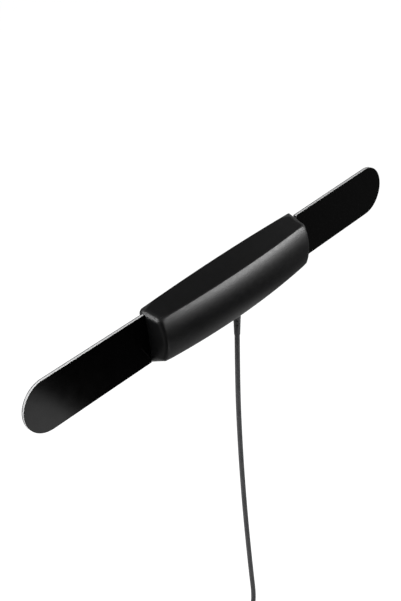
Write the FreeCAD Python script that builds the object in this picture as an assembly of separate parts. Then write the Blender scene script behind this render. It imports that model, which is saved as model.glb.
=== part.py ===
import FreeCAD, Part
import math
import os
from FreeCAD import Placement, Rotation, Vector

# Indoor television antenna: a moulded hub that hangs flat on a wall, with a two-layer blade out of
# each end and a coaxial cable that hangs from the middle of its underside.
# Millimetres and degrees. The wall is the plane y = 0 and the front faces -Y, +X runs along the
# blades to the right, +Z is up, and z = 0 is the blades' middle height.

# Blades
blade_height = 60.0
blade_reach = 287.6            # hub centre to a blade's tip, along the blade
blade_sweep = 0.7              # each blade leans back towards the wall
blade_front = 8.8              # wall to the blades' front face, at the hub's centre
facing_thickness = 3.0
element_thickness = 1.5
shoulder_gap = 1.2             # hub's end, at the wall, to where the blade's full height starts
shoulder_round = 1.6
blade_edge_break = 0.35
tang_height = 37.0
facing_tang = 15.4             # length of the facing's tang
element_tang = 41.4            # length of the element's tang
slot_gap = 0.25                # round the tang in the hub's end wall

# Hub
hub_half_length = 122.2        # at the wall
hub_half_height = 33.5         # at the wall, at the hub's ends
hub_depth = 37.6               # wall to the crown of the front
back_arch = 2.7                # rise of the long edges at their middle, at the wall
front_arch = 3.5               # the same, at arch_depth from the wall
arch_depth = 27.0
top_draft = 14.3               # slope of the top
bottom_draft = 20.5            # slope of the bottom
end_draft = 8.0                # slope of the ends
crown_rise = 1.6               # middle of the front's curve, above the blades' middle
crown_radius_long = 890.0      # front's curve along the hub
crown_radius_tall = 60.0       # front's curve from top to bottom
corner_round = 5.0             # between the ends and the top and bottom
end_round = 4.5                # between the ends and the front
ridge_round = 1.8              # between the front and the top and bottom
wall = 2.4
rear_thickness = 2.5
rear_gap = 0.2                 # between the rear cover and the walls round it
loft_depth = 46.0              # the hub's sides are drawn this far, past the crown
overcut = 1.0                  # cutting shapes run this far past what they cut

# Keyholes in the rear cover, for two wall screws
keyhole_spacing = 120.0
keyhole_height = 7.0           # centre of the round entry
keyhole_radius = 4.5
keyhole_slot_width = 4.5
keyhole_slot_rise = 9.0        # entry centre to the slot's round top

# Screws
screw_radius = 1.4
screw_gap = 0.05
screw_grip = 8.0               # length in the boss
bore_spare = 1.0               # bore's depth past the screw's tip
boss_radius = 3.5
pan_radius = 2.7
pan_height = 1.5
recess_width = 0.7             # cross recess in a screw's head
recess_reach = 1.6
recess_depth = 0.8
flat_radius = 2.6              # countersunk head
cover_screw_inset = 22.2       # from the hub's ends
cover_screw_low = 9.7          # from the hub's lower edge, the two at the bottom
cover_screw_high = 6.5         # from its upper edge, the two at the top
cover_screw_mid_x = 36.0       # two more between them
cover_screw_mid_high = 4.3     # from the upper edge
seat_radius = 4.4              # pad under each screw, inside the rear cover
seat_height = 1.6
seat_floor = 1.75              # plastic left under a sunk head
head_gap = 0.2
blade_screw_inset = 15.0       # from the inner end of the element's tang
blade_screw_z = 12.0

# Balun board
board_length = 74.0
board_height = 36.0
board_thickness = 1.6
board_front = 15.9             # wall to its front face
board_rise = 4.0
board_screw_x_high = 29.0
board_screw_x_low = 18.0
board_screw_z = 14.0           # above and below the board's middle

# Contact straps from the blades to the board
strap_width = 8.0
strap_thickness = 0.5
strap_z = -7.0
strap_lug = 9.0                # length on the blade's element
strap_foot = 8.0               # length on the board
strap_margin = 1.0             # foot to the board's end
rivet_radius = 1.25
rivet_head_radius = 2.2
rivet_head_height = 0.7

# Balun
core_length = 15.0
core_depth = 8.0
core_height = 11.0
core_z = 8.0                   # its lower end
core_hole_spacing = 7.0
core_hole_radius = 2.0
winding_radius = 1.7

# Cable, its boot and the clamp inside
cable_diameter = 6.0
exit_depth = 19.0              # wall to the cable's axis
exit_lean = 7.0                # towards -X
boot_length = 27.0             # below the exit point
boot_root_radius = 4.4
boot_tip_radius = 3.45
boot_slot_drop = 9.0           # exit point down to the first row of slots
boot_slot_pitch = 5.4
boot_slot_rows = 2
boot_slot_height = 2.0
boot_slot_width = 2.4
boot_slot_turn = 45.0          # of the slots' cross, from the X axis
boot_hole_gap = 0.1
boot_collar_drop = 5.0         # the seat's collar is drawn this far below the exit point
boot_flange_radius = 6.4
boot_flange_height = 2.0
boot_seat = 5.5                # exit point up to the flat seat inside the hub's lower wall
boot_bore_gap = 0.03
jacket_top = 20.0              # above the exit point
clamp_bottom = 10.0
clamp_width = 8.0
clamp_thickness = 0.8
clamp_foot = 5.0
clamp_gap = 0.05
dielectric_radius = 1.85
dielectric_length = 4.0
conductor_radius = 0.5
conductor_length = 3.0

# Cable's route at the exit's depth, as x and z, from its first run straight out of the boot to where it
# joins its coil
first_run = 62.6
lead_points = [
    (-16.6, -188.0),
    (-20.4, -260.0),
    (-22.5, -333.0),
    (-23.2, -406.0),
    (-22.8, -457.0),
    (-35.8, -479.5),
    (-58.3, -492.5),
]
run_share = 0.45               # of the shorter run, taken by the arc at each point
coil_mid_radius = 34.4
coil_rows = 2
coil_turns_per_row = 3
coil_entry = 60.0              # where the lead joins the coil, up from the side that its tail leaves
coil_slack = 0.3               # of the coil's outer form round its turns
tie_angle = 150.0              # round the coil from +X towards +Z
tie_width = 11.0
tie_thickness = 1.2
tie_gap = 0.15
tail_length = 30.0             # below the coil's centre

# Screw-on connector at the cable's end
ferrule_radius = 4.6
ferrule_length = 15.0
crimp_depth = 0.35             # of the crimped stretch, below the ferrule's full radius
crimp_length = 8.2
crimp_slope = 0.8
post_neck_radius = 3.4
post_flange_radius = 4.1
post_flange_height = 1.0
nut_across_flats = 11.1
nut_length = 9.5
nut_bore_radius = 4.4
nut_lip = 1.6
nut_running_gap = 0.05
nut_end_play = 0.2
nut_chamfer = 0.6
nut_chamfer_height = 0.36
insulator_radius = 2.3
pin_radius = 0.5
pin_proud = 2.5                # past the nut's open end

# Sizes that follow from the ones above
half_height = blade_height / 2
tang_half = tang_height / 2
blade_thickness = facing_thickness + element_thickness
blade_shoulder = hub_half_length + shoulder_gap
facing_root = blade_shoulder - facing_tang
element_root = blade_shoulder - element_tang
blade_screw_x = element_root + blade_screw_inset
cover_screw_x = hub_half_length - cover_screw_inset
rear_inner = -rear_thickness
seat_end = -(rear_thickness + seat_height)
board_back = board_thickness - board_front
cable_radius = cable_diameter / 2
exit_y = -exit_depth
screw_hole_radius = screw_radius + screw_gap
up = Vector(0, 0, 1)
forward = Vector(0, -1, 0)

nodes = {}


def tan(angle):
    return math.tan(math.radians(angle))


def cos(angle):
    return math.cos(math.radians(angle))


def sin(angle):
    return math.sin(math.radians(angle))


def box(x0, x1, y0, y1, z0, z1):
    return Part.makeBox(x1 - x0, y1 - y0, z1 - z0, Vector(x0, y0, z0))


def closed_face(edges):
    return Part.Face(Part.Wire([edge.toShape() for edge in edges]))


def line(a, b):
    return Part.LineSegment(a, b)


def turned(points):
    """Solid turned about the Z axis from points of (radius, height), closed back to the first."""
    corners = [Vector(radius, 0, height) for radius, height in points]
    profile = Part.Face(Part.makePolygon(corners + corners[:1]))
    return profile.revolve(Vector(0, 0, 0), up, 360)


def mirrored(shape):
    return shape.mirror(Vector(0, 0, 0), Vector(1, 0, 0))


def swept_back(shape):
    """Moves a right blade's piece from its own plate's frame to its place on the hub."""
    pivot = Vector(0, -blade_front, 0)
    shape = shape.copy()
    shape.translate(pivot)
    shape.rotate(pivot, up, blade_sweep)
    return shape


def swept_point(x, y, z):
    """The same move for a single point, with y counted from the blade's front face."""
    turn = Rotation(up, blade_sweep)
    return turn.multVec(Vector(x, y, z)) + Vector(0, -blade_front, 0)


def on_cable(shape):
    """Places a piece that is drawn about the Z axis on the leaning axis of the cable's exit."""
    shape = shape.copy()
    shape.Placement = Placement(Vector(0, exit_y, exit_z), Rotation(Vector(0, 1, 0), exit_lean))
    return shape


def on_cable_point(height):
    """A point of that axis, by its height along it from the exit point."""
    return Vector(0, exit_y, exit_z) + Rotation(Vector(0, 1, 0), exit_lean).multVec(Vector(0, 0, height))


# Hub form
def hub_arch(depth):
    """Rise of the long edges at their middle, at a distance from the wall."""
    return back_arch + (front_arch - back_arch) * depth / arch_depth


def hub_outline(depth, inset):
    """Hub's outline at a distance from the wall: straight ends, with an arched top and bottom."""
    end = hub_half_length - depth * tan(end_draft) - inset / cos(end_draft)
    top = hub_half_height - depth * tan(top_draft) - inset / cos(top_draft)
    low = depth * tan(bottom_draft) + inset / cos(bottom_draft) - hub_half_height
    arch = hub_arch(depth)

    def at(x, z):
        return Vector(x, -depth, z)

    edges = [
        Part.Arc(at(-end, low), at(0, low - arch), at(end, low)),
        line(at(end, low), at(end, top)),
        Part.Arc(at(end, top), at(0, top + arch), at(-end, top)),
        line(at(-end, top), at(-end, low)),
    ]
    return Part.Wire([edge.toShape() for edge in edges])


def hub_crown(inset):
    """Barrel-shaped block whose front is the hub's doubly curved face, moved back by inset."""
    tall = crown_radius_tall - inset
    reach = hub_half_height + hub_arch(loft_depth) + crown_rise
    centre = crown_radius_tall - hub_depth
    side = centre - math.sqrt(tall ** 2 - reach ** 2)

    def at(y, z):
        return Vector(0, y, crown_rise + z)

    profile = closed_face([
        Part.Arc(at(side, -reach), at(centre - tall, 0), at(side, reach)),
        line(at(side, reach), at(centre, reach)),
        line(at(centre, reach), at(centre, -reach)),
        line(at(centre, -reach), at(side, -reach)),
    ])
    axis_point = Vector(0, crown_radius_long - hub_depth, 0)
    half_turn = 2 * math.degrees(hub_half_length / crown_radius_long)
    profile.rotate(axis_point, up, -half_turn)
    return profile.revolve(axis_point, up, 2 * half_turn)


def hub_sides(inset, start):
    """Block between the hub's top, bottom and ends, all inset, from a distance in front of the wall."""
    return Part.makeLoft([hub_outline(start, inset), hub_outline(loft_depth, inset)], True, True)


def front_edges(block):
    """The edges round the front face of one of the hub's forms: its two ends and its two ridges."""
    front = [edge for edge in block.Edges if edge.BoundBox.YMax < -hub_depth / 2]
    ends = [edge for edge in front if edge.BoundBox.XLength < hub_half_length]
    ridges = [edge for edge in front if edge.BoundBox.XLength > hub_half_length]
    return ends, ridges


def rounded_hub():
    """The hub's solid form, with its ends rounded and its top and bottom edges crisp between them."""
    block = hub_sides(0, 0).common(hub_crown(0))
    block = block.makeFillet(end_round, front_edges(block)[0])
    ridge_end = max(abs(vertex.X) for edge in front_edges(block)[1] for vertex in edge.Vertexes)

    def radius_at(point):
        return corner_round if abs(point.x) > ridge_end + overcut else ridge_round

    rows = []
    for number, edge in enumerate(block.Edges, 1):
        at_wall = edge.BoundBox.YLength < overcut and edge.BoundBox.YMax > -overcut
        across_end = edge.BoundBox.ZLength > hub_half_height
        if not at_wall and not across_end:
            first = edge.valueAt(edge.FirstParameter)
            last = edge.valueAt(edge.LastParameter)
            rows.append((number, radius_at(first), radius_at(last)))
    document = FreeCAD.newDocument("hub")
    base = document.addObject("Part::Feature", "block")
    base.Shape = block
    rounds = document.addObject("Part::Fillet", "rounds")
    rounds.Base = base
    rounds.Edges = rows
    document.recompute()
    return rounds.Shape.Solids[0]


hub_solid = rounded_hub()
cavity = hub_sides(wall, -overcut).common(hub_crown(wall))
cavity = cavity.makeFillet(end_round - wall, front_edges(cavity)[0])
exit_z = exit_depth * tan(bottom_draft) - hub_half_height - hub_arch(exit_depth)


# Screws
def cross_recess(head_top):
    half = recess_width / 2
    floor = head_top - recess_depth
    bar = box(-recess_reach, recess_reach, -half, half, floor, head_top + overcut)
    return bar.fuse(box(-half, half, -recess_reach, recess_reach, floor, head_top + overcut))


def pan_screw(length):
    """Screw along -Z with its pan head standing on z = 0."""
    shape = turned([(0, -length), (screw_radius, -length), (screw_radius, 0), (pan_radius, 0),
                    (pan_radius, pan_height), (0, pan_height)])
    return shape.cut(cross_recess(pan_height))


def flat_screw(length):
    """Countersunk screw along -Z with the top of its head at z = 0."""
    cone = flat_radius - screw_radius
    shape = turned([(0, -length), (screw_radius, -length), (screw_radius, -cone), (flat_radius, 0), (0, 0)])
    return shape.cut(cross_recess(0))


def facing_wall(shape, place):
    """Turns a piece drawn along -Z so that it points away from the wall, at a place."""
    shape = shape.copy()
    shape.Placement = Placement(place, Rotation(Vector(1, 0, 0), -90))
    return shape


def rod(place, direction, radius, length):
    return Part.makeCylinder(radius, length, place, direction)


cover_screw_places = []
for x, z in ((cover_screw_x, cover_screw_low - hub_half_height),
             (cover_screw_x, hub_half_height - cover_screw_high),
             (cover_screw_mid_x, hub_half_height - cover_screw_mid_high)):
    cover_screw_places += [(-x, z), (x, z)]
board_screw_places = [(side * board_screw_x_high, board_rise + board_screw_z) for side in (-1, 1)]
board_screw_places += [(side * board_screw_x_low, board_rise - board_screw_z) for side in (-1, 1)]
blade_screw_places = [(blade_screw_x, level * blade_screw_z) for level in (-1, 1)]


# Blades
def blade_plate(root, front, back):
    """Plate with a narrower tang from root and a full-round tip, between two depths."""

    def at(x, z):
        return Vector(x, front, z)

    start = blade_shoulder
    edge = start + shoulder_round
    low = half_height - shoulder_round
    mid = shoulder_round * (1 - math.sqrt(0.5))
    tip = blade_reach - half_height
    outline = closed_face([
        line(at(root, -tang_half), at(start, -tang_half)),
        line(at(start, -tang_half), at(start, -low)),
        Part.Arc(at(start, -low), at(start + mid, mid - half_height), at(edge, -half_height)),
        line(at(edge, -half_height), at(tip, -half_height)),
        Part.Arc(at(tip, -half_height), at(blade_reach, 0), at(tip, half_height)),
        line(at(tip, half_height), at(edge, half_height)),
        Part.Arc(at(edge, half_height), at(start + mid, half_height - mid), at(start, low)),
        line(at(start, low), at(start, tang_half)),
        line(at(start, tang_half), at(root, tang_half)),
        line(at(root, tang_half), at(root, -tang_half)),
    ])
    return outline.extrude(Vector(0, back - front, 0))


def broken_edges(plate, level):
    """Takes the sharpness off the plate's edge all round at one face."""
    ring = [e for e in plate.Edges if abs(e.BoundBox.YMin - level) < 0.001 and e.BoundBox.YLength < 0.001]
    return plate.makeChamfer(blade_edge_break, ring)


rivet_x = element_root + strap_lug / 2
facing = broken_edges(blade_plate(facing_root, 0, facing_thickness), 0)
element = broken_edges(blade_plate(element_root, facing_thickness, blade_thickness), blade_thickness)
blade_screw_set = []
for x, z in blade_screw_places:
    place = Vector(x, blade_thickness, z)
    cone = flat_radius - screw_radius
    sink = turned([(0, -cone), (screw_hole_radius, -cone), (flat_radius + screw_gap, 0), (0, 0)])
    element = element.cut(facing_wall(sink, place))
    element = element.cut(rod(place, forward, screw_hole_radius, element_thickness))
    blade_screw_set.append(facing_wall(flat_screw(element_thickness + screw_grip), place))
rivet_place = Vector(rivet_x, blade_thickness, strap_z)
element = element.cut(rod(rivet_place, forward, rivet_radius + screw_gap, element_thickness))

for node, shape in (("blade_facing", facing), ("blade_element", element)):
    nodes["right_" + node] = swept_back(shape)
    nodes["left_" + node] = mirrored(nodes["right_" + node])
right_screws = [swept_back(screw) for screw in blade_screw_set]
nodes["blade_screws"] = Part.makeCompound(right_screws + [mirrored(screw) for screw in right_screws])

# Front cover: hollow shell, its bosses and the openings in its walls
front_cover = hub_solid.cut(cavity)
bosses = []
bores = []
bore_depth = screw_grip + bore_spare
for x, z in cover_screw_places:
    place = Vector(x, seat_end, z)
    bosses.append(rod(place, forward, boss_radius, hub_depth))
    bores.append(rod(place, forward, screw_hole_radius, bore_depth))
for x, z in board_screw_places:
    place = Vector(x, -board_front, z)
    bosses.append(rod(place, forward, boss_radius, hub_depth))
    bores.append(rod(place, forward, screw_hole_radius, bore_depth))
for x, z in blade_screw_places:
    place = Vector(x, facing_thickness, z)
    boss = swept_back(rod(place, forward, boss_radius, hub_depth))
    bore = swept_back(rod(place, forward, screw_hole_radius, bore_depth))
    bosses += [boss, mirrored(boss)]
    bores += [bore, mirrored(bore)]
for boss in bosses:
    front_cover = front_cover.fuse(boss.common(hub_solid))
for bore in bores:
    front_cover = front_cover.cut(bore)
tang_slot = swept_back(box(facing_root, blade_shoulder, -slot_gap, blade_thickness + slot_gap,
                           -tang_half - slot_gap, tang_half + slot_gap))
front_cover = front_cover.cut(tang_slot).cut(mirrored(tang_slot))
collar_bottom = Vector(0, 0, -boot_collar_drop)
collar_height = boot_collar_drop + boot_seat
boot_collar = on_cable(rod(collar_bottom, up, boot_flange_radius, collar_height))
boot_hole = on_cable(rod(collar_bottom, up, boot_root_radius + boot_hole_gap, collar_height + overcut))
front_cover = front_cover.fuse(boot_collar.common(hub_solid)).cut(boot_hole)
nodes["front_cover"] = front_cover.removeSplitter()

# Rear cover: flat plate inside the walls, with screw seats and two keyholes
rear_slab = box(-hub_half_length, hub_half_length, rear_inner, 0, -2 * hub_half_height, 2 * hub_half_height)
rear_room = hub_sides(wall + rear_gap, -overcut)
rear_cover = rear_room.common(rear_slab)
for x, z in cover_screw_places:
    seat = rod(Vector(x, rear_inner, z), forward, seat_radius, seat_height)
    rear_cover = rear_cover.fuse(seat.common(rear_room))
head_bed = seat_end + seat_floor
for x, z in cover_screw_places:
    rear_cover = rear_cover.cut(rod(Vector(x, 0, z), forward, pan_radius + head_gap, -head_bed))
    rear_cover = rear_cover.cut(rod(Vector(x, 0, z), forward, screw_hole_radius, -seat_end))
half_slot = keyhole_slot_width / 2
for side in (-1, 1):
    x = side * keyhole_spacing / 2
    top = keyhole_height + keyhole_slot_rise
    rear_cover = rear_cover.cut(rod(Vector(x, 0, keyhole_height), forward, keyhole_radius, rear_thickness))
    rear_cover = rear_cover.cut(rod(Vector(x, 0, top), forward, half_slot, rear_thickness))
    rear_cover = rear_cover.cut(box(x - half_slot, x + half_slot, rear_inner, 0, keyhole_height, top))
nodes["rear_cover"] = rear_cover.removeSplitter()

nodes["cover_screws"] = Part.makeCompound([
    facing_wall(pan_screw(seat_floor + screw_grip), Vector(x, head_bed, z)) for x, z in cover_screw_places
])

# Balun board
board = box(-board_length / 2, board_length / 2, -board_front, board_back,
            board_rise - board_height / 2, board_rise + board_height / 2)
for x, z in board_screw_places:
    board = board.cut(rod(Vector(x, board_back, z), forward, screw_hole_radius, board_thickness))
nodes["balun_board"] = board
nodes["board_screws"] = Part.makeCompound([
    facing_wall(pan_screw(board_thickness + screw_grip), Vector(x, board_back, z))
    for x, z in board_screw_places
])


# Contact straps: a lug riveted to the blade's element, a slope and a foot soldered to the board
def strap_edge(off_element, off_board):
    """One side of the strap in plan, by its distances from the faces that its two ends lie on."""
    lug_end = swept_point(element_root + strap_lug, facing_thickness - off_element, strap_z)
    lug_start = swept_point(element_root, facing_thickness - off_element, strap_z)
    foot_end = Vector(board_length / 2 - strap_margin, board_back + off_board, strap_z)
    foot_start = foot_end - Vector(strap_foot, 0, 0)
    return [lug_end, lug_start, foot_end, foot_start]


strap_outline = strap_edge(0, strap_thickness) + strap_edge(strap_thickness, 0)[::-1]
strap = Part.Face(Part.makePolygon(strap_outline + strap_outline[:1])).extrude(Vector(0, 0, strap_width))
strap.translate(Vector(0, 0, -strap_width / 2))
rivet_bore = swept_back(rod(rivet_place, forward, rivet_radius + screw_gap, blade_thickness))
strap = strap.cut(rivet_bore)
nodes["right_contact_strap"] = strap
nodes["left_contact_strap"] = mirrored(strap)
rivet_grip = element_thickness + strap_thickness
rivet_top = -rivet_grip - rivet_head_height
rivet = turned([(0, rivet_top), (rivet_head_radius, rivet_top), (rivet_head_radius, -rivet_grip),
                (rivet_radius, -rivet_grip), (rivet_radius, 0), (0, 0)])
rivet = swept_back(facing_wall(rivet, rivet_place))
nodes["contact_rivets"] = Part.makeCompound([rivet, mirrored(rivet)])

# Balun: two-hole ferrite core with its winding, on the board's front
core_mid = -board_front - core_depth / 2
core = box(-core_length / 2, core_length / 2, -board_front - core_depth, -board_front,
           core_z, core_z + core_height)
half_pitch = core_hole_spacing / 2
for side in (-1, 1):
    core = core.cut(rod(Vector(side * half_pitch, core_mid, core_z), up, core_hole_radius, core_height))
nodes["balun_core"] = core


def winding_at(x, z):
    return Vector(x, core_mid, z)


low = core_z - winding_radius
high = core_z + core_height + winding_radius
loop = Part.Wire([edge.toShape() for edge in (
    line(winding_at(-half_pitch, low), winding_at(-half_pitch, high)),
    Part.Arc(winding_at(-half_pitch, high), winding_at(0, high + half_pitch), winding_at(half_pitch, high)),
    line(winding_at(half_pitch, high), winding_at(half_pitch, low)),
    Part.Arc(winding_at(half_pitch, low), winding_at(0, low - half_pitch), winding_at(-half_pitch, low)),
)])
wire_section = Part.Wire(Part.makeCircle(winding_radius, winding_at(-half_pitch, low), up))
nodes["balun_winding"] = loop.makePipeShell([wire_section], True, False)

# Cable inside the hub: jacket, stripped core, clamp and boot
jacket = rod(Vector(0, 0, -boot_length), up, cable_radius, boot_length + jacket_top)
nodes["coax_jacket"] = on_cable(jacket)
stripped = jacket_top + dielectric_length
nodes["coax_core"] = on_cable(turned([
    (0, jacket_top), (dielectric_radius, jacket_top), (dielectric_radius, stripped),
    (conductor_radius, stripped), (conductor_radius, stripped + conductor_length),
    (0, stripped + conductor_length)]))

saddle_radius = cable_radius + clamp_gap
saddle_outer = saddle_radius + clamp_thickness
to_board = exit_depth - board_front
clamp_top = clamp_bottom + clamp_width
feet_half = saddle_outer + clamp_foot
saddle = rod(Vector(0, 0, clamp_bottom), up, saddle_outer, clamp_width)
saddle = saddle.fuse(box(-saddle_outer, saddle_outer, 0, to_board, clamp_bottom, clamp_top))
feet_front = to_board - clamp_thickness
saddle = saddle.fuse(box(-feet_half, feet_half, feet_front, to_board, clamp_bottom, clamp_top))
saddle = saddle.cut(box(-saddle_radius, saddle_radius, 0, to_board, clamp_bottom, clamp_top))
saddle = saddle.cut(rod(Vector(0, 0, clamp_bottom), up, saddle_radius, clamp_width))
saddle = saddle.cut(box(-feet_half, feet_half, to_board, to_board + saddle_outer, clamp_bottom, clamp_top))
nodes["coax_clamp"] = on_cable(saddle)

bore = cable_radius + boot_bore_gap
boot_top = boot_seat + boot_flange_height
boot = turned([
    (bore, -boot_length), (boot_tip_radius, -boot_length), (boot_root_radius, 0),
    (boot_root_radius, boot_seat), (boot_flange_radius, boot_seat),
    (boot_flange_radius, boot_top), (bore, boot_top)])
half_slot = boot_slot_width / 2
for row in range(boot_slot_rows):
    slot_mid = -boot_slot_drop - row * boot_slot_pitch
    for turn in (boot_slot_turn, boot_slot_turn + 90):
        slot = box(-boot_root_radius, boot_root_radius, -half_slot, half_slot,
                   slot_mid - boot_slot_height / 2, slot_mid + boot_slot_height / 2)
        slot.rotate(Vector(0, 0, 0), up, turn)
        boot = boot.cut(slot)
nodes["cable_boot"] = on_cable(boot)


# Cable below the boot
def at_exit_depth(x, z):
    return Vector(x, exit_y, z)


def rounded_path(points):
    """Straight runs joined by tangent arcs, each as large as its two runs allow."""
    edges = []
    radii = []
    start = points[0]
    for before, corner, after in zip(points, points[1:], points[2:]):
        back = before - corner
        on = after - corner
        shorter = min(back.Length, on.Length)
        turn = math.pi - back.getAngle(on)
        reach = run_share * shorter
        radius = reach / math.tan(turn / 2)
        back.normalize()
        on.normalize()
        middle = back + on
        middle.normalize()
        depth = radius / math.cos(turn / 2) - radius
        first = corner + back * reach
        last = corner + on * reach
        edges += [line(start, first), Part.Arc(first, corner + middle * depth, last)]
        radii.append(radius)
        start = last
    edges.append(line(start, points[-1]))
    return Part.Wire([edge.toShape() for edge in edges]), radii


def tube(points):
    path, radii = rounded_path(points)
    heading = points[1] - points[0]
    section = Part.Wire(Part.makeCircle(cable_radius, points[0], heading))
    shape = path.makePipeShell([section], True, False)
    share = shape.Volume / (math.pi * cable_radius ** 2 * path.Length)
    print("tube radii", [round(radius) for radius in radii], "length", round(path.Length, 1),
          "volume over section times length", round(share, 4))
    return shape


coil_outer_turn = coil_mid_radius + coil_turns_per_row * cable_diameter / 2
coil_inner_turn = coil_mid_radius - coil_turns_per_row * cable_diameter / 2
last_turn = coil_outer_turn + cable_diameter * coil_entry / 360
coil_x = lead_points[-1][0] + coil_outer_turn * cos(coil_entry)
coil_z = lead_points[-1][1] - coil_outer_turn * sin(coil_entry)
coil_front = exit_y - cable_radius - coil_slack
coil_depth = coil_rows * cable_diameter + 2 * coil_slack
coil_outer = last_turn + cable_radius + coil_slack
coil_inner = coil_inner_turn - cable_radius - coil_slack
coil_place = Vector(coil_x, coil_front, coil_z)
backward = Vector(0, 1, 0)
coil = rod(coil_place, backward, coil_outer, coil_depth)
coil = coil.cut(rod(coil_place, backward, coil_inner, coil_depth))
nodes["cable_coil"] = coil
boot_tip = on_cable_point(-boot_length)
first_bend = on_cable_point(-boot_length - first_run)
nodes["cable_lead"] = tube([boot_tip, first_bend] + [at_exit_depth(x, z) for x, z in lead_points]).cut(coil)
tail_y = exit_y + (coil_rows - 1) * cable_diameter
tail_x = coil_x - last_turn
tail_end = coil_z - tail_length
tail = rod(Vector(tail_x, tail_y, coil_z), Vector(0, 0, -1), cable_radius, tail_length)
nodes["cable_tail"] = tail.cut(coil)

# Tie round the coil's turns, between where the lead joins them and the tail leaves
half_tie = tie_width / 2
tie_inner = math.sqrt(coil_inner ** 2 - half_tie ** 2) - tie_gap
tie_outer = coil_outer + tie_gap
tie_depth = coil_depth + tie_gap
tie = box(tie_inner - tie_thickness, tie_outer + tie_thickness, -tie_gap - tie_thickness,
          tie_depth + tie_thickness, -half_tie, half_tie)
tie = tie.cut(box(tie_inner, tie_outer, -tie_gap, tie_depth, -half_tie, half_tie))
tie.Placement = Placement(coil_place, Rotation(backward, -tie_angle))
nodes["coil_tie"] = tie


# Connector, drawn downwards from the end of the cable's tail
def below_tail(shape):
    shape = shape.copy()
    shape.Placement = Placement(Vector(tail_x, tail_y, tail_end), Rotation(Vector(1, 0, 0), 180))
    return shape


lip_start = ferrule_length + nut_end_play / 2
lip_end = lip_start + nut_lip
flange_start = lip_end + nut_end_play / 2
flange_end = flange_start + post_flange_height
nut_end = lip_start + nut_length
crimp_radius = ferrule_radius - crimp_depth
post_start = crimp_length + crimp_slope
nodes["connector_ferrule"] = below_tail(turned([
    (0, 0), (crimp_radius, 0), (crimp_radius, crimp_length), (ferrule_radius, post_start),
    (ferrule_radius, ferrule_length), (post_neck_radius, ferrule_length),
    (post_neck_radius, post_start), (0, post_start)]))
nodes["connector_post"] = below_tail(turned([
    (insulator_radius, post_start), (post_neck_radius, post_start), (post_neck_radius, flange_start),
    (post_flange_radius, flange_start), (post_flange_radius, flange_end), (insulator_radius, flange_end)]))
nodes["connector_insulator"] = below_tail(turned([
    (pin_radius, post_start), (insulator_radius, post_start), (insulator_radius, flange_end),
    (pin_radius, flange_end)]))
nodes["connector_pin"] = below_tail(turned([
    (0, post_start), (pin_radius, post_start), (pin_radius, nut_end + pin_proud - pin_radius),
    (0, nut_end + pin_proud)]))

corner_radius = nut_across_flats / 2 / cos(30)
hexagon = [Vector(corner_radius * cos(60 * k), corner_radius * sin(60 * k), lip_start) for k in range(6)]
nut = Part.Face(Part.makePolygon(hexagon + hexagon[:1])).extrude(Vector(0, 0, nut_length))
chamfer_cone = turned([
    (0, lip_start), (corner_radius - nut_chamfer, lip_start),
    (corner_radius, lip_start + nut_chamfer_height), (corner_radius, nut_end - nut_chamfer_height),
    (corner_radius - nut_chamfer, nut_end), (0, nut_end)])
nut = nut.common(chamfer_cone)
nut = nut.cut(rod(Vector(0, 0, lip_start), up, post_neck_radius + nut_running_gap, nut_length))
nut = nut.cut(rod(Vector(0, 0, lip_end), up, nut_bore_radius, nut_length))
nodes["connector_nut"] = below_tail(nut)

# One file per piece
os.makedirs("parts", exist_ok=True)
for name, shape in nodes.items():
    shape.exportStep("parts/" + name + ".step")
    state = "valid" if shape.isValid() else "NOT VALID"
    print(name, len(shape.Solids), "solids", round(shape.Volume), "mm3", state)
print(len(nodes), "nodes; boot tip", boot_tip, "first bend", first_bend, "coil centre", coil_place,
      "tail", round(tail_x, 2), round(tail_y, 2), round(tail_end, 2))
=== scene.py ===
import math

import bmesh
import bpy
from mathutils import Matrix, Quaternion, Vector


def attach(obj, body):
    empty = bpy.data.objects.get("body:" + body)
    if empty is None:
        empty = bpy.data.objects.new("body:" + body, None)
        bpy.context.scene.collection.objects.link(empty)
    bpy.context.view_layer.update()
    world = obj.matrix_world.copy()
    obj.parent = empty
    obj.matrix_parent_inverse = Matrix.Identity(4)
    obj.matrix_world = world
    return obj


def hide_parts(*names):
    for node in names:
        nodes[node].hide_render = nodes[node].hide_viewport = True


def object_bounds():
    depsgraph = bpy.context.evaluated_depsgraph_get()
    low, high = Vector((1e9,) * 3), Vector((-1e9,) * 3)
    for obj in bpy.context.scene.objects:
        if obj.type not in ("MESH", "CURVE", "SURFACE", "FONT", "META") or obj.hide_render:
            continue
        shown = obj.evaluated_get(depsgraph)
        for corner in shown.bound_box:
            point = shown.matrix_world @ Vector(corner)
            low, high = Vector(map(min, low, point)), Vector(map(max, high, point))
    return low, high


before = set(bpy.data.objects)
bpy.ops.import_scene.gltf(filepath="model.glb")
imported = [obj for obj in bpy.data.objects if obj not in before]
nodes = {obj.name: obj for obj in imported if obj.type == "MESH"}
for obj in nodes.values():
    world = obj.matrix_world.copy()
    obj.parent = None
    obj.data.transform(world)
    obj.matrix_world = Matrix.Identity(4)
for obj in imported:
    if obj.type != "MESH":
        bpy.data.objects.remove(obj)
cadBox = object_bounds()
print("frame loaded:", len(nodes), "nodes")


# helpers that several pieces share
noiseBand = (0.3, 0.7)      # the part of a noise's values that is spread over a whole range


def addNode(owner, kind, **values):
    node = owner.node_tree.nodes.new(kind)
    for name, value in values.items():
        if name in node.inputs:
            node.inputs[name].default_value = value
        else:
            setattr(node, name, value)
    return node


def join(owner, source, target):
    owner.node_tree.links.new(source, target)


def shaderOf(material):
    return material.node_tree.nodes["Principled BSDF"]


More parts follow.
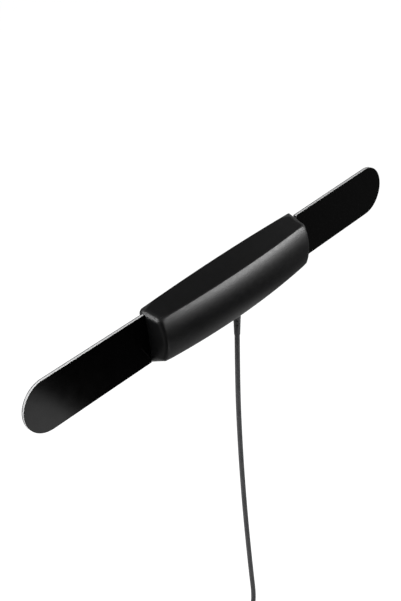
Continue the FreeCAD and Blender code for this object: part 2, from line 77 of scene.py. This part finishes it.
def newMaterial(name, colour, roughness, metallic=0.0, specular=0.5):
    material = bpy.data.materials.new(name)
    material.use_nodes = True
    shader = shaderOf(material)
    shader.inputs["Base Color"].default_value = (*colour, 1)
    shader.inputs["Roughness"].default_value = roughness
    shader.inputs["Metallic"].default_value = metallic
    shader.inputs["Specular IOR Level"].default_value = specular
    return material


def objectCoords(material, stretch=(1, 1, 1)):
    place = addNode(material, "ShaderNodeTexCoord")
    mapping = addNode(material, "ShaderNodeMapping", Scale=stretch)
    join(material, place.outputs["Object"], mapping.inputs["Vector"])
    return mapping.outputs["Vector"]


def noise(material, vector, scale, detail=2.0):
    node = addNode(material, "ShaderNodeTexNoise", Scale=scale, Detail=detail)
    join(material, vector, node.inputs["Vector"])
    return node.outputs["Fac"]


def remap(material, value, source, target):
    node = addNode(material, "ShaderNodeMapRange")
    node.inputs["From Min"].default_value, node.inputs["From Max"].default_value = source
    node.inputs["To Min"].default_value, node.inputs["To Max"].default_value = target
    join(material, value, node.inputs["Value"])
    return node.outputs["Result"]


def fromMiddle(material, coords, axis):
    # how far a point lies from the object's middle, along one axis
    split = addNode(material, "ShaderNodeSeparateXYZ")
    join(material, coords, split.inputs[0])
    away = addNode(material, "ShaderNodeMath", operation="ABSOLUTE")
    join(material, split.outputs[axis], away.inputs[0])
    return away.outputs[0]


def varyRoughness(material, value, limits):
    join(material, remap(material, value, noiseBand, limits), shaderOf(material).inputs["Roughness"])


def varyColour(material, value, dark, light):
    ramp = addNode(material, "ShaderNodeValToRGB")
    for element, position, colour in zip(ramp.color_ramp.elements, noiseBand, (dark, light)):
        element.position = position
        element.color = (*colour, 1)
    join(material, value, ramp.inputs["Fac"])
    join(material, ramp.outputs["Color"], shaderOf(material).inputs["Base Color"])


def roughen(material, value, strength, depth):
    bump = addNode(material, "ShaderNodeBump", name="grain", Strength=strength, Distance=depth)
    join(material, value, bump.inputs["Height"])
    join(material, bump.outputs["Normal"], shaderOf(material).inputs["Normal"])


def mottled(name, plan):
    # patches of colour if the plan has two colours, patches of gloss, and a fine grain
    low = plan["roughness"][0]
    material = newMaterial(name, plan["light"], low, plan.get("metallic", 0.0), plan["specular"])
    coords = objectCoords(material)
    detail = plan.get("detail", 2.0)
    if "dark" in plan:
        patches = noise(material, coords, plan["patchScale"], detail)
        varyColour(material, patches, plan["dark"], plan["light"])
    gloss = noise(material, coords, plan["glossScale"], detail)
    varyRoughness(material, gloss, plan["roughness"])
    grain = noise(material, coords, plan["grainScale"])
    roughen(material, grain, plan["grainStrength"], plan["grainDepth"])
    return material


def addPiece(name, data):
    piece = bpy.data.objects.new(name, data)
    bpy.context.scene.collection.objects.link(piece)
    return piece


def addMesh(name, build, materials):
    mesh = bpy.data.meshes.new(name)
    shape = bmesh.new()
    build(shape)
    bmesh.ops.recalc_face_normals(shape, faces=shape.faces)
    shape.to_mesh(mesh)
    shape.free()
    for material in materials:
        mesh.materials.append(material)
    return addPiece(name, mesh)


def dress(material, *names):
    for name in names:
        mesh = nodes[name].data
        mesh.materials.clear()
        mesh.materials.append(material)


# camera: where the photographer stood, worked out from the outline of the blades and the hub
shot = {
    "azimuth": 43.423,      # degrees round the object, from its front
    "elevation": 32.235,
    "roll": -7.044,
    "distance": 1.3078,     # metres, from the aim point
    "aim": (0, -0.00877, 0),
    "slide": (0.02957, 0.01473),    # metres from the picture's middle to the aim point, right and up
    "focalPixels": 1198.7,
    "pictureHeight": 601,   # pixels
    "sensor": 36.0,         # millimetres
}


def placeCamera():
    azimuth = math.radians(shot["azimuth"])
    elevation = math.radians(shot["elevation"])
    ahead = Vector((math.sin(azimuth) * math.cos(elevation), math.cos(azimuth) * math.cos(elevation),
                    -math.sin(elevation)))
    level = Vector((math.cos(azimuth), -math.sin(azimuth), 0))
    roll = Matrix.Rotation(-math.radians(shot["roll"]), 3, ahead)
    right = roll @ level
    up = roll @ level.cross(ahead)
    data = bpy.data.cameras.new("camera")
    data.sensor_width = shot["sensor"]
    data.lens = shot["focalPixels"] * shot["sensor"] / shot["pictureHeight"]
    camera = addPiece("camera", data)
    slideRight, slideUp = shot["slide"]
    place = Vector(shot["aim"]) - ahead * shot["distance"] - right * slideRight - up * slideUp
    facing = Matrix((right, up, -ahead)).transposed().to_4x4()
    camera.matrix_world = Matrix.Translation(place) @ facing
    bpy.context.scene.camera = camera
    print("camera at", [round(v, 3) for v in place])


placeCamera()


# cable: hangs from the boot, then wound up out of the picture, with its connector below
cable = {
    "length": 1.82,
    "diameter": 0.006,
    "depth": -0.019,        # y of the hanging stretch and the coil's front row
    "route": [              # x and z, from the boot's tip down to the coil
        (-0.00329, -0.05646),
        (-0.01092, -0.11859),
        (-0.0166, -0.188),
        (-0.0204, -0.260),
        (-0.0225, -0.333),
        (-0.0232, -0.406),
        (-0.0228, -0.457),
        (-0.0358, -0.4795),
        (-0.0583, -0.4925),
    ],
    "coilCentre": (-0.0366, -0.53009),
    "outerTurn": 0.0434,    # radius of the coil's widest turn
    "entryAngle": 120,      # degrees round the coil from +X towards +Z
    "turnsPerRow": 3,       # the front row winds inwards, the back row outwards
    "lastBit": 1 / 6,       # of a turn, past the second row
    "pointsPerTurn": 24,
    "rowChange": (2.75, 3.25),      # turns between which the line goes over to the back row
    "tailEnd": -0.56009,    # z where the connector begins
    "lineSteps": 6,
    "roundSteps": 6,
    "carries": ("coil_tie", "connector_ferrule", "connector_post", "connector_insulator", "connector_pin",
                "connector_nut"),
    "sheath": {
        "dark": (0.016, 0.016, 0.017),
        "light": (0.026, 0.026, 0.027),
        "specular": 0.3,
        "patchScale": 60,
        "glossScale": 180,
        "roughness": (0.42, 0.58),
        "grainScale": 1800,
        "grainStrength": 0.15,
        "grainDepth": 0.0001,
    },
}


def coilPoint(turns):
    perRow = cable["turnsPerRow"]
    step = cable["diameter"]
    inward = min(turns, 2 * perRow - turns)
    radius = cable["outerTurn"] - step * inward
    radius /= math.cos(math.pi / cable["pointsPerTurn"])    # the line runs inside its points
    start, end = cable["rowChange"]
    row = min(1, max(0, (turns - start) / (end - start)))
    angle = math.radians(cable["entryAngle"] + 360 * turns)
    x, z = cable["coilCentre"]
    return (x + radius * math.cos(angle), cable["depth"] + step * row, z + radius * math.sin(angle))


def cableLine():
    points = [(x, cable["depth"], z) for x, z in cable["route"]]
    perTurn = cable["pointsPerTurn"]
    total = round((2 * cable["turnsPerRow"] + cable["lastBit"]) * perTurn)
    points += [coilPoint(k / perTurn) for k in range(1, total + 1)]
    tailX = cable["coilCentre"][0] - cable["outerTurn"] - cable["diameter"] * cable["lastBit"]
    tailY = cable["depth"] + cable["diameter"]
    points.append((tailX, tailY, (cable["coilCentre"][1] + cable["tailEnd"]) / 2))
    points.append((tailX, tailY, cable["tailEnd"]))
    return points


def makeCable(sheath):
    curve = bpy.data.curves.new("cable", "CURVE")
    curve.dimensions = "3D"
    points = cableLine()
    spline = curve.splines.new("NURBS")
    spline.points.add(len(points) - 1)
    for point, place in zip(spline.points, points):
        point.co = (*place, 1)
    spline.order_u = 3
    spline.use_endpoint_u = True
    spline.resolution_u = cable["lineSteps"]
    curve.bevel_depth = cable["diameter"] / 2
    curve.bevel_resolution = cable["roundSteps"]
    curve.use_fill_caps = True
    curve.materials.append(sheath)
    piece = addPiece("cable", curve)
    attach(piece, "antenna")
    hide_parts("cable_lead", "cable_coil", "cable_tail")
    return piece


cableSheath = mottled("cableSheath", cable["sheath"])
dress(cableSheath, "coax_jacket")
cablePiece = makeCable(cableSheath)
print("cable made of", len(cableLine()), "points")


# hub: matte moulded plastic
hub = {
    "dark": (0.0012, 0.0012, 0.0013),
    "light": (0.0018, 0.0018, 0.0019),
    "specular": 0.18,
    "detail": 3,
    "patchScale": 35,
    "glossScale": 220,
    "roughness": (0.31, 0.37),
    "grainScale": 2600,
    "grainStrength": 0.25,
    "grainDepth": 0.00006,
    "softCorner": 0.008,    # radius that the four corners are shaded with
    # how far from the middle the corners begin, and where they are full
    "cornerStart": {"X": (0.100, 0.116), "Z": (0.017, 0.023)},
    "cornerSamples": 16,
}


def softCorners(material):
    # the hub's four corners are shaded rounder than they are, under the grain
    coords = objectCoords(material)
    radius = addNode(material, "ShaderNodeMath", operation="MULTIPLY")
    share = math.sqrt(hub["softCorner"])    # the two shares make the whole radius where both are full
    for factor, (axis, reach) in zip(radius.inputs, hub["cornerStart"].items()):
        join(material, remap(material, fromMiddle(material, coords, axis), reach, (0, share)), factor)
    rounding = addNode(material, "ShaderNodeBevel", samples=hub["cornerSamples"])
    join(material, radius.outputs[0], rounding.inputs["Radius"])
    join(material, rounding.outputs["Normal"], material.node_tree.nodes["grain"].inputs["Normal"])


hubMoulding = mottled("hubMoulding", hub)
softCorners(hubMoulding)
dress(hubMoulding, "front_cover", "rear_cover")
print("hub dressed")


# blades: a black facing plate with a light machined edge, and a metal plate behind it
blade = {
    "height": 0.060,
    "reach": 0.2876,
    "sweep": 0.7,           # degrees, back towards the wall
    "front": -0.0083,       # y of the front face at the hub's middle
    "thickness": 0.0025,
    "shoulders": {"left": 0.1215, "right": 0.1250},     # from the hub's middle
    "tangHeight": 0.037,
    "root": 0.108,
    "shoulderRound": 0.0008,
    "shoulderSteps": 6,
    "edgeBreak": 0.00035,
    "edgeSteps": 2,
    "tipSteps": 48,
    "rimNormal": 0.1,       # a face whose normal has less of Y than this is rim
    "flatNormal": 0.99,     # and one with more than this is flat
    "paintedTipShade": 0.55,       # painted shade: how light the rim's colour is at the tips, beside its straight edges
    "black": {              # finish of the facing
        "light": (0.0004, 0.0004, 0.0004),
        "specular": 0.08,
        "detail": 3,
        "glossScale": 90,
        "roughness": (0.12, 0.15),
        "grainScale": 40,
        "grainStrength": 0.04,
        "grainDepth": 0.00003,
    },
    "machining": {          # finish of the facing's edge and of the metal plate
        "lines": (1500, 60, 1500),      # cutter lines run across the edge
        "detail": 3,
        "specular": 0.2,
        "roughness": (0.32, 0.42),
        "lineStrength": 0.1,
        "lineDepth": 0.00003,
    },
    "edge": {"dark": (0.27, 0.27, 0.27), "light": (0.31, 0.31, 0.31), "metallic": 0.0},
    "element": {"dark": (0.095, 0.095, 0.097), "light": (0.125, 0.125, 0.128), "metallic": 0.6},
}


def bladeOutline(shoulder):
    half = blade["height"] / 2
    tang = blade["tangHeight"] / 2
    tip = blade["reach"] - half
    corner = blade["shoulderRound"]
    upper = [(blade["root"], tang), (shoulder, tang)]
    for k in range(blade["shoulderSteps"] + 1):
        angle = math.pi - math.pi / 2 * k / blade["shoulderSteps"]
        upper.append((shoulder + corner + corner * math.cos(angle),
                      half - corner + corner * math.sin(angle)))
    for k in range(blade["tipSteps"] // 2):
        angle = math.pi / 2 - math.pi * k / blade["tipSteps"]
        upper.append((tip + half * math.cos(angle), half * math.sin(angle)))
    return upper + [(blade["reach"], 0)] + [(x, -z) for x, z in reversed(upper)]


def buildFacing(side, shoulder):
    def build(shape):
        ring = [shape.verts.new((x, 0, z)) for x, z in bladeOutline(shoulder)]
        front = shape.faces.new(ring)
        frontEdges = list(front.edges)
        made = bmesh.ops.extrude_face_region(shape, geom=[front])["geom"]
        for part in made:
            if isinstance(part, bmesh.types.BMVert):
                part.co.y += blade["thickness"]
        bmesh.ops.bevel(shape, geom=frontEdges, offset=blade["edgeBreak"], segments=blade["edgeSteps"],
                        profile=0.5, affect="EDGES")
        for face in shape.faces:
            face.normal_update()
            rim = abs(face.normal.y) < blade["rimNormal"]
            onTang = face.calc_center_median().x < shoulder - blade["edgeBreak"]
            face.material_index = 1 if rim and not onTang else 0
            face.smooth = abs(face.normal.y) < blade["flatNormal"]
        lean = Matrix.Rotation(math.radians(blade["sweep"]), 3, "Z")
        offset = Vector((0, blade["front"], 0))
        for vert in shape.verts:
            vert.co = lean @ vert.co + offset
            vert.co.x *= side
    return build


def paintTipShade(material):
    # painted shade: the rim's colour is darkened round the tips, in place of less light falling there
    colour = shaderOf(material).inputs["Base Color"]
    plain = colour.links[0].from_socket
    tip = (blade["reach"] - blade["height"] / 2, blade["reach"])
    away = fromMiddle(material, objectCoords(material), "X")
    darken = addNode(material, "ShaderNodeVectorMath", operation="SCALE")
    join(material, plain, darken.inputs[0])
    join(material, remap(material, away, tip, (1, blade["paintedTipShade"])), darken.inputs["Scale"])
    join(material, darken.outputs["Vector"], colour)


def machinedEdge(name, plan):
    machining = blade["machining"]
    low = machining["roughness"][0]
    material = newMaterial(name, plan["light"], low, plan["metallic"], machining["specular"])
    lines = noise(material, objectCoords(material, machining["lines"]), 1, machining["detail"])
    varyColour(material, lines, plan["dark"], plan["light"])
    varyRoughness(material, lines, machining["roughness"])
    roughen(material, lines, machining["lineStrength"], machining["lineDepth"])
    # painted shade round the tips, over the cutter lines
    paintTipShade(material)
    return material


def makeFacing(name, side, materials):
    piece = addMesh(name + "BladeFacing", buildFacing(side, blade["shoulders"][name]), materials)
    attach(piece, "antenna")
    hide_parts(name + "_blade_facing")


facingMaterials = [mottled("facingBlack", blade["black"]), machinedEdge("facingEdge", blade["edge"])]
makeFacing("left", -1, facingMaterials)
makeFacing("right", 1, facingMaterials)
dress(machinedEdge("elementAluminium", blade["element"]), "left_blade_element", "right_blade_element")
print("blades made")


# small metal and plastic pieces
metalLook = {
    "metallic": 1.0,
    "specular": 0.5,
    "patchScale": 300,
    "glossScale": 600,
    "grainScale": 2400,
    "grainStrength": 0.1,
    "grainDepth": 0.00003,
}
plasticLook = {
    "specular": 0.35,
    "patchScale": 200,
    "glossScale": 400,
    "grainScale": 2000,
    "grainStrength": 0.2,
    "grainDepth": 0.00005,
}
zincSteel = {"dark": (0.45, 0.45, 0.47), "light": (0.6, 0.6, 0.6), "roughness": (0.25, 0.4)}
rolledBrass = {"dark": (0.6, 0.45, 0.2), "light": (0.74, 0.58, 0.3), "roughness": (0.25, 0.4)}
copper = {"dark": (0.6, 0.26, 0.13), "light": (0.75, 0.36, 0.2), "roughness": (0.2, 0.35)}
nickel = {"dark": (0.58, 0.57, 0.54), "light": (0.7, 0.69, 0.66), "roughness": (0.15, 0.28)}
laminate = {"dark": (0.03, 0.12, 0.05), "light": (0.05, 0.17, 0.07), "roughness": (0.4, 0.55)}
ferrite = {"dark": (0.03, 0.03, 0.032), "light": (0.055, 0.055, 0.058), "roughness": (0.6, 0.75)}
foam = {"dark": (0.75, 0.75, 0.72), "light": (0.85, 0.85, 0.83), "roughness": (0.5, 0.6)}
softRubber = {"dark": (0.016, 0.016, 0.017), "light": (0.024, 0.024, 0.025), "roughness": (0.5, 0.65)}

dress(mottled("zincSteel", metalLook | zincSteel), "blade_screws", "cover_screws", "board_screws")
dress(mottled("rolledBrass", metalLook | rolledBrass),
      "left_contact_strap", "right_contact_strap", "contact_rivets", "coax_clamp")
dress(mottled("copper", metalLook | copper), "balun_winding", "connector_pin")
nickelPlate = mottled("nickel", metalLook | nickel)
dress(nickelPlate, "connector_ferrule", "connector_post", "connector_nut")
dress(mottled("laminate", plasticLook | laminate), "balun_board")
dress(mottled("ferrite", plasticLook | ferrite), "balun_core")
dress(mottled("foam", plasticLook | foam), "coax_core", "connector_insulator")
dress(mottled("softRubber", plasticLook | softRubber), "cable_boot", "coil_tie")
print("small pieces dressed")


# thread inside the coupling nut
thread = {
    "axis": (-0.081, -0.013),       # x and y of the nut
    "bore": 0.0044,         # radii of the nut's bore and of the thread's crest
    "crest": 0.00405,
    "pitch": 0.000794,
    "top": -0.5782,
    "bottom": -0.5843,
    "footHalf": 0.42,       # of the pitch, half the thread's width on the bore
    "crestHalf": 0.063,     # of the pitch, half its width on the crest
    "stepsPerTurn": 32,
    "runOut": 0.5,          # of a turn, over which each end of the thread fades
}


def buildThread(shape):
    x, y = thread["axis"]
    pitch = thread["pitch"]
    turns = (thread["top"] - thread["bottom"]) / pitch - 1
    foot = pitch * thread["footHalf"]
    ridge = pitch * thread["crestHalf"]
    rows = []
    for step in range(round(turns * thread["stepsPerTurn"]) + 1):
        turn = step / thread["stepsPerTurn"]
        angle = 2 * math.pi * turn
        middle = thread["top"] - pitch * (turn + 0.5)       # starts half a pitch under the top
        grown = max(0, min(1, turn / thread["runOut"], (turns - turn) / thread["runOut"]))
        crest = thread["bore"] - (thread["bore"] - thread["crest"]) * grown
        section = ((thread["bore"], foot), (crest, ridge), (crest, -ridge), (thread["bore"], -foot))
        rows.append([shape.verts.new((x + r * math.cos(angle), y + r * math.sin(angle), middle + rise))
                     for r, rise in section])
    for above, below in zip(rows, rows[1:]):
        for k in range(len(above)):
            shape.faces.new((above[k], above[k - 1], below[k - 1], below[k]))
    shape.faces.new(rows[0])
    shape.faces.new(rows[-1])


threadPiece = addMesh("nutThread", buildThread, [nickelPlate])
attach(threadPiece, "coupling_nut")
print("thread cut")

cableLine()[0]


# stage: pale floor under the lowest point, white ground and soft studio lights
stage = {
    "floorDrop": 0.03,      # metres under the object's lowest point
    "floorSize": 14.0,
    "floorColour": (0.8, 0.8, 0.8),
    "floorGlow": 1.09,      # white that is seen of the floor
    "floorShade": 0.15,     # share of its own light and shadow in that
    "worldFill": 0.5,       # world's own light on the object
    "cardFade": (-0.56, 0.3),       # y between which a card's glow goes from its first value to its second
}
lamps = {
    "frontStrip": {
        "place": (1.22, -1.4, 0.25), "aim": (0, 0, 0), "tilt": -8, "size": (1.5, 0.35), "watts": 53,
    },
    "leftPanel": {
        "place": (-1.36, 0.34, 0.78), "aim": (-0.1, 0, 0), "size": (0.85, 0.7), "watts": 62,
    },
}
cards = {                   # painted reflections: glowing or black sheets, no lamps, that only reflections show; with no aim, a card lies flat
    "lowCard": {"place": (0.15, -0.92, -0.5), "size": (3.1, 2.5), "glow": (0, 1.2)},
    "rightCard": {"place": (1.02, -0.92, -0.48), "size": (1.2, 2.5), "glow": (0, 0.25)},
    "sideCard": {"place": (1.25, -0.92, -0.46), "size": (1.2, 2.5), "glow": (0.14, 0.14)},
    "tipCard": {"place": (-0.01, -0.465, -0.43), "size": (0.16, 0.21), "glow": (3.7, 3.7)},
    "leftCard": {"place": (-0.95, 0.1, -0.45), "size": (1.2, 1.7), "glow": (0, 0.4)},
    "cameraCard": {"place": (-0.85, -1.45, 0.2), "aim": (0, 0, 0), "size": (2.6, 1.6), "glow": (0, 0)},
    "highCard": {"place": (0.92, 0.44, 1.2), "aim": (0, 0, 0), "size": (1.4, 1.2), "glow": (0, 0.12)},
}


def showToView(owner, plain, seen):
    # the camera, mirrors and glass get the seen shader, and everything else the plain one
    path = addNode(owner, "ShaderNodeLightPath")
    either = addNode(owner, "ShaderNodeMath", operation="MAXIMUM")
    join(owner, path.outputs["Is Camera Ray"], either.inputs[0])
    join(owner, path.outputs["Is Glossy Ray"], either.inputs[1])
    looking = addNode(owner, "ShaderNodeMath", operation="MAXIMUM")
    join(owner, either.outputs[0], looking.inputs[0])
    join(owner, path.outputs["Is Transmission Ray"], looking.inputs[1])
    mix = addNode(owner, "ShaderNodeMixShader")
    join(owner, looking.outputs[0], mix.inputs[0])
    join(owner, plain.outputs[0], mix.inputs[1])
    join(owner, seen.outputs[0], mix.inputs[2])
    return mix


def bareMaterial(name):
    material = bpy.data.materials.new(name)
    material.use_nodes = True
    material.node_tree.nodes.remove(shaderOf(material))
    return material


def surfaceOf(material):
    return material.node_tree.nodes["Material Output"].inputs["Surface"]


def flatSheet(wide, deep, height=0):
    def build(shape):
        corners = ((-1, -1), (1, -1), (1, 1), (-1, 1))
        shape.faces.new([shape.verts.new((x * wide / 2, y * deep / 2, height)) for x, y in corners])
    return build


def makeWorld():
    world = bpy.data.worlds.new("studio")
    world.use_nodes = True
    fill = world.node_tree.nodes["Background"]
    fill.inputs["Color"].default_value = (1, 1, 1, 1)
    fill.inputs["Strength"].default_value = stage["worldFill"]
    white = addNode(world, "ShaderNodeBackground", Color=(1, 1, 1, 1))
    mix = showToView(world, fill, white)
    join(world, mix.outputs[0], world.node_tree.nodes["World Output"].inputs["Surface"])
    bpy.context.scene.world = world


def makeFloor():
    paint = bareMaterial("floorPaint")
    matte = addNode(paint, "ShaderNodeBsdfDiffuse", Color=(*stage["floorColour"], 1))
    glow = addNode(paint, "ShaderNodeEmission", Strength=stage["floorGlow"])
    shaded = addNode(paint, "ShaderNodeMixShader", Fac=stage["floorShade"])
    join(paint, glow.outputs[0], shaded.inputs[1])
    join(paint, matte.outputs[0], shaded.inputs[2])
    join(paint, showToView(paint, matte, shaded).outputs[0], surfaceOf(paint))
    low = cadBox[0].z - stage["floorDrop"]
    addMesh("floor", flatSheet(stage["floorSize"], stage["floorSize"], low), [paint])


def aimAt(holder, plan):
    place = Vector(plan["place"])
    aim = Vector(plan.get("aim", (place.x, place.y, 0)))
    turn = (aim - place).to_track_quat("-Z", "Y")
    tilt = Quaternion((0, 0, 1), math.radians(plan.get("tilt", 0)))
    holder.location = place
    holder.rotation_euler = (turn @ tilt).to_euler()


def makeLamp(name, plan):
    lamp = bpy.data.lights.new(name, "AREA")
    lamp.shape = "RECTANGLE"
    lamp.size, lamp.size_y = plan["size"]
    lamp.energy = plan["watts"]
    holder = addPiece(name, lamp)
    aimAt(holder, plan)
    holder.visible_camera = False


def cardMaterial(name, limits):
    # painted reflection: the card's glow, fading along y, is seen only in glossy surfaces
    paintedReflection = bareMaterial(name + "PaintedReflection")
    place = addNode(paintedReflection, "ShaderNodeNewGeometry")
    split = addNode(paintedReflection, "ShaderNodeSeparateXYZ")
    join(paintedReflection, place.outputs["Position"], split.inputs[0])
    glow = addNode(paintedReflection, "ShaderNodeEmission")
    join(paintedReflection, remap(paintedReflection, split.outputs["Y"], stage["cardFade"], limits), glow.inputs["Strength"])
    join(paintedReflection, glow.outputs[0], surfaceOf(paintedReflection))
    return paintedReflection


def makeCard(name, plan):
    card = addMesh(name, flatSheet(*plan["size"]), [cardMaterial(name, plan["glow"])])
    aimAt(card, plan)
    card.visible_camera = False
    card.visible_diffuse = False
    card.visible_shadow = False
    card.visible_transmission = False


makeWorld()
makeFloor()
for name, plan in lamps.items():
    makeLamp(name, plan)
for name, plan in cards.items():
    makeCard(name, plan)
bpy.context.scene.view_settings.view_transform = "Standard"
print("stage set with", len(lamps), "lamps and", len(cards), "cards")
